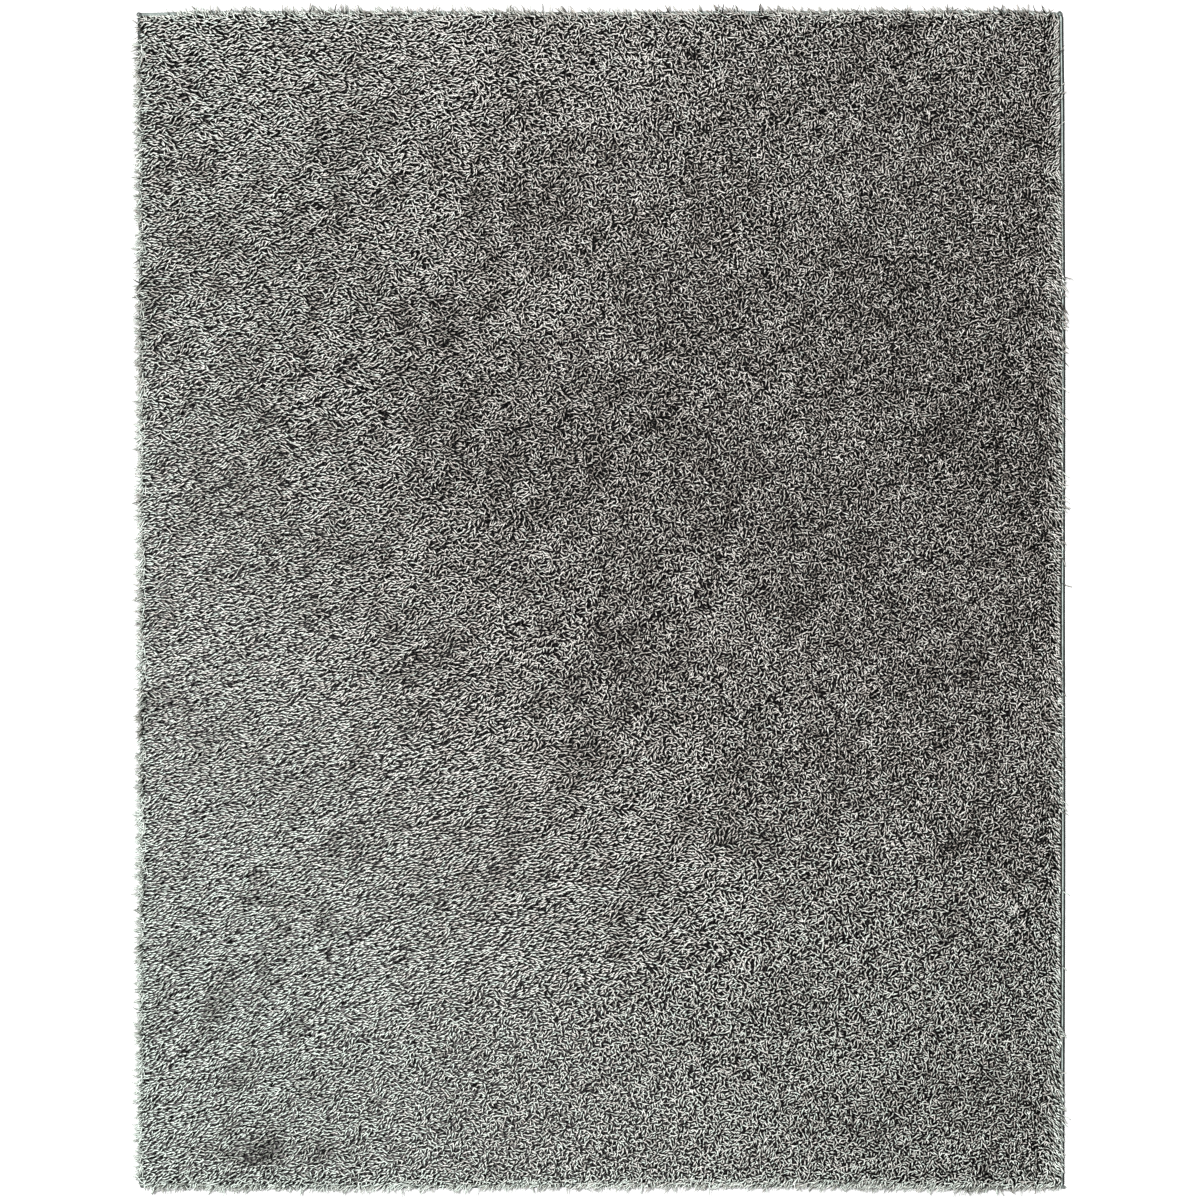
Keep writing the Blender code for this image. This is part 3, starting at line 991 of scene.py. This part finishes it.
def slab(name, x_count, y_count, inset, top_of, bottom):
    """A closed slab inside the bindings: a grid above, sides, and a flat underside."""
    u, v = np.meshgrid(np.linspace(0, 1, x_count), np.linspace(0, 1, y_count), indexing="ij")
    x = LEFT + inset + (WIDTH - 2 * inset) * u
    y = FOOT + inset + (LENGTH - 2 * inset) * v
    drawn = {side: edge_inset(side, x, y) for side in OUTWARD}
    x = x + drawn["left"] * (1 - u) ** 8 - drawn["right"] * u**8
    y = y + drawn["foot"] * (1 - v) ** 8 - drawn["head"] * v**8
    top = np.stack([x, y, top_of(x, y)], -1).reshape(-1, 3)

    index = np.arange(x_count * y_count).reshape(x_count, y_count)
    quads = np.stack([index[:-1, :-1], index[1:, :-1], index[1:, 1:], index[:-1, 1:]], -1)
    rim = np.concatenate([index[:-1, 0], index[-1, :-1], index[:0:-1, -1], index[0, :0:-1]])
    base = top[rim].copy()
    base[:, 2] = bottom
    under = np.arange(len(rim)) + len(top)
    walls = np.stack([rim, under, np.roll(under, -1), np.roll(rim, -1)], -1)
    corners = np.concatenate([quads.ravel(), walls.ravel(), under[::-1]])
    counts = [4] * (quads.size // 4 + len(walls)) + [len(rim)]
    return joined_mesh(name, np.concatenate([top, base]), corners, counts)


def lay_ground_cloth(dyes):
    """The woven cloth that the pile is tufted into."""
    inset = BINDING_WIDTH + 0.0008
    cloth = slab("ground_cloth", 25, 31, inset, lambda x, y: np.full_like(x, CLOTH_THICKNESS), 0.0)
    dress(cloth, ground_material(dyes), "ground_cloth", "shag_pile")


def fill_pile_bed(dyes):
    """The packed lower part of the pile, dyed dark as painted shade."""
    bed = Bed()
    across, along = round(WIDTH / BED_STEP), round(LENGTH / BED_STEP)
    piece = slab(
        "pile_bed", across, along, BINDING_WIDTH + 0.0015, bed.height, CLOTH_THICKNESS + 0.0002
    )
    dress(piece, bed_material(dyes), "pile_yarn", "shag_pile")


# ---- Bindings ----
# A stitch's section: (share of the width from the outer edge, share of the height).
# The right-hand binding, which shows, is a bead between two lips. The others are flat rolls.
BEAD_SECTION = (
    (0.06, 0.02), (1.07, 0.02), (1.07, 0.18), (0.94, 0.22), (0.86, 0.85), (0.76, 1.0), (0.62, 0.95),
    (0.50, 0.52), (0.24, 0.40), (0.0, 0.25),
)
ROLL_SECTION = (
    (0.10, 0.02), (0.92, 0.02), (1.0, 0.40), (0.94, 0.80), (0.76, 1.0), (0.34, 0.97), (0.10, 0.72),
    (0.0, 0.30),
)
# Painted light and shade: how pale each binding's lips and crest are dyed. Those under the pile are
# darker for its shade, and the bare right-hand crest is paler for the light on it.
Tone = namedtuple("Tone", "lip crest")
BINDING_LIGHT_AND_SHADE = {
    "left": Tone(lip=0.08, crest=0.22),
    "right": Tone(lip=0.07, crest=1.40),
    "foot": Tone(lip=0.08, crest=0.30),
    "head": Tone(lip=0.32, crest=0.68),
}
CORNER_CUT, CORNER_RUN = 0.004, 0.016  # how the corners are rounded off
STITCH_STEPS = 3  # rings of points in each stitch
YARN_END_STEPS, YARN_END_SIDES = 14, 6
# (metres from the binding's end, size), where it is turned over
STITCH_END_SIZES = ((0.0, 0.60), (0.003, 1.02), (0.008, 1.22), (0.013, 1.18), (0.024, 1.0))


def end_size(distance):
    """The binding's size near its turned-over end."""
    places, sizes = zip(*STITCH_END_SIZES)
    return np.interp(distance, places, sizes)


def binding_run(name):
    """Where a side's binding starts and ends, along its side."""
    low, high = BINDINGS[name]
    return (low.y, high.y) if name in LONG_SIDES else (low.x, high.x)


def sew_binding(name, pitch, ridge, material):
    """One overcast edge: a rounded roll of slanting stitches side by side."""
    start, end = binding_run(name)
    stitches = round((end - start) / pitch)
    along = np.linspace(start, end, stitches * STITCH_STEPS + 1)
    phase = np.arange(len(along)) % STITCH_STEPS / STITCH_STEPS
    crest = 0.5 - 0.5 * np.cos(phase * TURN)
    chance = np.random.default_rng(len(along))
    uneven = np.repeat(chance.normal(0, 0.18, stitches + 1), STITCH_STEPS)[: len(along)]
    size = np.ones_like(along)
    if name in LONG_SIDES:
        size = end_size(np.minimum(along - start, end - along))

    way = np.array(OUTWARD[name], float)
    run = np.abs(way[::-1])
    places = []
    for across, up in BEAD_SECTION if name == "right" else ROLL_SECTION:
        slant = pitch * 0.55 * (0.5 - across) * up
        at = np.clip(along + slant, start, end)
        x, y = run[0] * at, run[1] * at
        edge = depth_from(name, x, y) - 0.0002
        if name in LONG_SIDES:
            edge = edge - CORNER_CUT * ease(np.minimum(at - start, end - at), CORNER_RUN, 0)
        fall = ridge - ridge * crest * (1 + uneven)
        depth = BINDING_WIDTH * np.minimum(size, 1) * across
        lift = BINDING_HEIGHT * size * up
        out = edge - depth - np.where(across < 0.5, fall, 0)
        height = np.maximum(lift - fall * up, 0.0002)
        spot = np.stack([x, y], -1) + way * out[:, None]
        places.append(np.concatenate([spot, height[:, None]], -1))
    piece = lofted(f"overcast_{name}", np.stack(places, 1), flipped=name in ("right", "foot"))
    dress(piece, material, "binding_yarn", f"edge_binding_{name}")


# The ends of the overcasting yarn, tucked in at the corners: the side whose binding each one
# belongs to, its middle, the radius of its curl, its first angle and turn in degrees, and the
# yarn's own radius.
YarnEnd = namedtuple("YarnEnd", "side x y radius start turn yarn")
YARN_ENDS = (
    YarnEnd(side="right", x=1.1842, y=1.5158, radius=0.0048, start=-75, turn=350, yarn=0.0021),
    YarnEnd(side="left", x=-1.196, y=1.513, radius=0.0045, start=20, turn=235, yarn=0.0020),
    YarnEnd(side="right", x=1.1935, y=-1.5165, radius=0.0030, start=90, turn=330, yarn=0.0030),
)


def curl_yarn_end(end, material):
    """One end of the overcasting yarn, curled round and lying on the binding."""
    steps = YARN_END_STEPS
    angle = np.radians(end.start + end.turn * np.linspace(0, 1, steps))
    out = np.stack([np.cos(angle), np.sin(angle)], -1)
    rise = BINDING_HEIGHT + end.yarn * np.linspace(0.0, 2.2, steps)
    thick = end.yarn * np.sin(math.pi * np.linspace(0.12, 0.88, steps)) ** 0.4
    places = []
    for turn in np.arange(YARN_END_SIDES) * TURN / YARN_END_SIDES:
        level = (end.radius + thick * math.cos(turn))[:, None] * out + (end.x, end.y)
        places.append(np.column_stack([level, rise + thick * math.sin(turn)]))
    number = YARN_ENDS.index(end) + 1
    piece = lofted(f"yarn_end_{number}", np.stack(places, 1), flipped=True)
    dress(piece, material, "binding_yarn", f"edge_binding_{end.side}")


# ---- Operators ----
class RUG_OT_ground_cloth(bpy.types.Operator):
    """Lay the woven ground cloth"""

    bl_idname = "rug.ground_cloth"
    bl_label = "Ground cloth"

    def execute(self, context):
        lay_ground_cloth(context.scene.rug_dyes)
        return {"FINISHED"}


class RUG_OT_pile_bed(bpy.types.Operator):
    """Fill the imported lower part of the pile"""

    bl_idname = "rug.pile_bed"
    bl_label = "Pile bed"

    def execute(self, context):
        fill_pile_bed(context.scene.rug_dyes)
        return {"FINISHED"}


class RUG_OT_pile_strands(bpy.types.Operator):
    """Tuft the heathered strands of the pile"""

    bl_idname = "rug.pile_strands"
    bl_label = "Pile strands"

    def execute(self, context):
        scene = context.scene
        sow_pile(scene.rug_pile, yarn_material(scene.rug_dyes))
        return {"FINISHED"}


class RUG_OT_bindings(bpy.types.Operator):
    """Overcast the four edges"""

    bl_idname = "rug.bindings"
    bl_label = "Edge bindings"

    def execute(self, context):
        scene = context.scene
        binding = scene.rug_binding
        for name, tone in BINDING_LIGHT_AND_SHADE.items():
            material = binding_material(scene.rug_dyes, f"binding_yarn_{name}", *tone)
            pitch = binding.shown_pitch if name == "right" else binding.hidden_pitch
            sew_binding(name, pitch, binding.ridge, material)
        # Painted light and shade on the yarn ends too: paler on top, darker low down.
        material = binding_material(scene.rug_dyes, "binding_yarn_ends", 0.10, 0.28)
        for end in YARN_ENDS:
            curl_yarn_end(end, material)
        return {"FINISHED"}


# ---- Stage ----
VIEW_WIDTH = 3.103  # metres across the picture
VIEW_SHIFT = 0.0039  # how far the rug's middle lies right of the picture's
FLOOR_HEIGHT = -0.0004  # just under the ground cloth
TO_KEY_LIGHT = (-0.34, 0.20, 1.0)


class RUG_OT_stage(bpy.types.Operator):
    """Set the floor, the light and the camera over the rug"""

    bl_idname = "rug.stage"
    bl_label = "Stage"

    def execute(self, context):
        scene, stage = context.scene, context.scene.rug_stage
        scene.view_settings.view_transform = "Standard"
        self.floor(stage)
        self.lights(scene, stage)
        self.camera(scene, stage)
        return {"FINISHED"}

    def floor(self, stage):
        corners = np.array([(-1, -1), (1, -1), (1, 1), (-1, 1)]) * stage.floor_size / 2
        places = np.column_stack([corners, np.full(4, FLOOR_HEIGHT)])
        floor = joined_mesh("floor", places, np.arange(4), [4], smooth=False)
        paint = Dye("floor").finished(gloss=0.1, base_color=opaque(stage.floor), roughness=0.9)
        floor.data.materials.append(paint)

    def lights(self, scene, stage):
        sun = bpy.data.lights.new("key", "SUN")
        sun.energy = stage.key
        sun.angle = math.radians(16)
        key = put("key", sun)
        key.rotation_euler = Vector(TO_KEY_LIGHT).to_track_quat("Z", "Y").to_euler()
        world = bpy.data.worlds.new("studio")
        world.use_nodes = True
        sky = world.node_tree.nodes["Background"]
        sky.inputs["Color"].default_value = (1, 1, 1, 1)
        sky.inputs["Strength"].default_value = stage.sky
        scene.world = world

    def camera(self, scene, stage):
        lens = bpy.data.cameras.new("camera")
        lens.lens = stage.lens
        lens.clip_end = 200
        camera = put("camera", lens)
        height = VIEW_WIDTH * lens.lens / lens.sensor_width
        camera.location = ((LEFT + RIGHT) / 2 - VIEW_SHIFT, (FOOT + HEAD) / 2, height)
        scene.camera = camera


class RUG_PT_panel(bpy.types.Panel):
    """Lists the rug's settings and the steps that make it"""

    bl_label = "Shag Rug"
    bl_idname = "RUG_PT_panel"
    bl_space_type = "VIEW_3D"
    bl_region_type = "UI"
    bl_category = "Rug"

    def draw(self, context):
        for group_name, group in SETTINGS.items():
            box = self.layout.box()
            for setting in group.__annotations__:
                box.prop(getattr(context.scene, group_name), setting)
        for step in STEPS:
            self.layout.operator(step.bl_idname)


SETTINGS = {
    "rug_pile": RugPile,
    "rug_dyes": RugDyes,
    "rug_binding": RugBinding,
    "rug_stage": RugStage,
}
STEPS = (
    RUG_OT_ground_cloth,
    RUG_OT_pile_bed,
    RUG_OT_pile_strands,
    RUG_OT_bindings,
    RUG_OT_stage,
)


def register():
    for group_name, group in SETTINGS.items():
        bpy.utils.register_class(group)
        setattr(bpy.types.Scene, group_name, PointerProperty(type=group))
    for kind in (*STEPS, RUG_PT_panel):
        bpy.utils.register_class(kind)


def unregister():
    for kind in (RUG_PT_panel, *reversed(STEPS)):
        bpy.utils.unregister_class(kind)
    for group_name, group in SETTINGS.items():
        delattr(bpy.types.Scene, group_name)
        bpy.utils.unregister_class(group)


def main():
    register()
    bpy.ops.rug.ground_cloth()
    bpy.ops.rug.pile_bed()
    bpy.ops.rug.pile_strands()
    bpy.ops.rug.bindings()
    bpy.ops.rug.stage()


if __name__ == "__main__":
    main()
